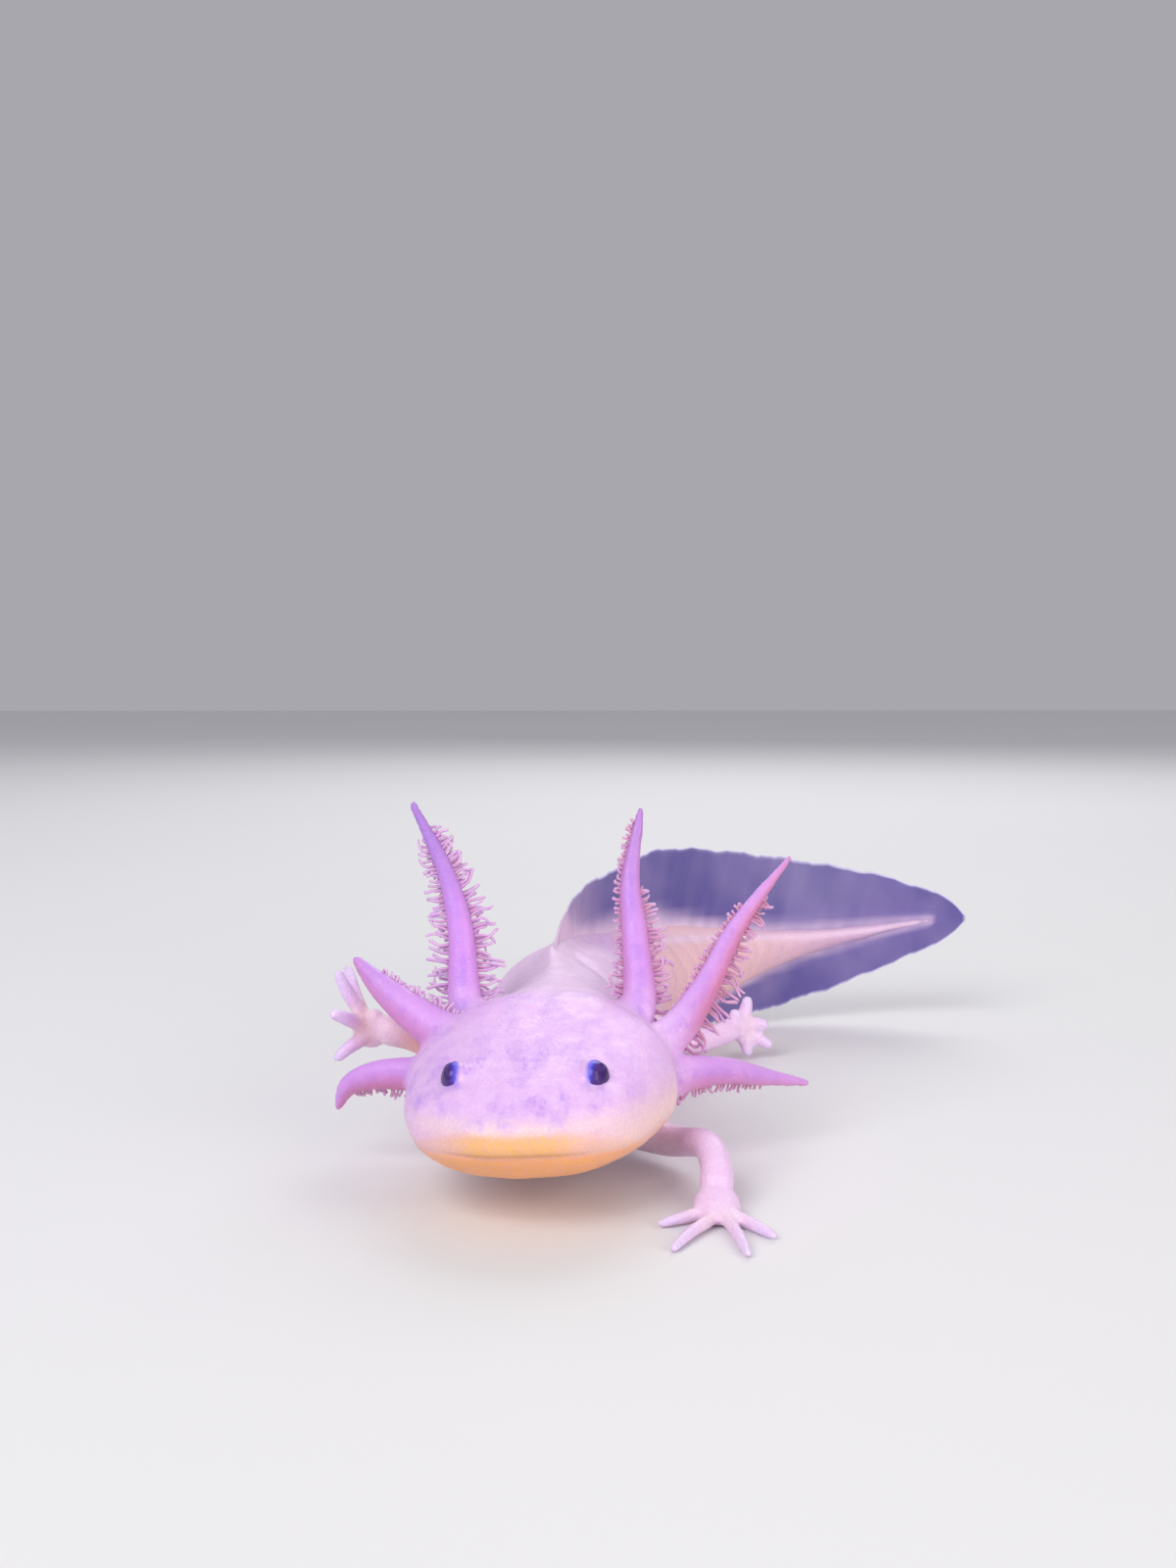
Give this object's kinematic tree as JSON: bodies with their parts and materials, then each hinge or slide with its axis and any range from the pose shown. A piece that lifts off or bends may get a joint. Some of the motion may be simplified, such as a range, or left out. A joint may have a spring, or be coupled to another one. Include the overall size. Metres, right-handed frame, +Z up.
{
  "type": "axolotl",
  "caption": "Life-size still model of a young pale axolotl resting on its belly, one hand and one foot, its gills raised and its tail curved to its left.",
  "frame": {"origin": "on the floor, in the middle of the flat under the front of the trunk", "axes": "+Z up; -Y the way the head faces; +X the animal's own left, to which its tail curves"},
  "size_m": [0.0834, 0.0936, 0.0375],
  "materials": {
    "skin": "satin, moist",
    "belly": "satin, moist",
    "gill": "satin, moist",
    "fin": "translucent, glossy",
    "eye": "glossy"
  },
  "bodies": {
    "root": {"head": "skin", "neck": "skin", "trunk_front": "skin", "trunk_rear": "skin", "tail_base": "skin", "tail_middle": "skin", "tail_tip": "skin", "upper_arm_left": "skin", "forearm_left": "skin", "hand_left": "skin", "upper_arm_right": "skin", "forearm_right": "skin", "hand_right": "skin", "thigh_left": "skin", "shin_left": "skin", "foot_left": "skin", "thigh_right": "skin", "shin_right": "skin", "foot_right": "skin", "jaw": "belly", "eye_left": "eye", "eye_right": "eye", "dorsal_fin": "fin", "tail_fin_upper_front": "fin", "tail_fin_upper_rear": "fin", "tail_fin_lower_front": "fin", "tail_fin_lower_rear": "fin", "gill_right_upper": "gill", "gill_right_middle": "gill", "gill_right_lower": "gill", "gill_left_upper": "gill", "gill_left_middle": "gill", "gill_left_lower": "gill"}
  },
  "joints": []
}
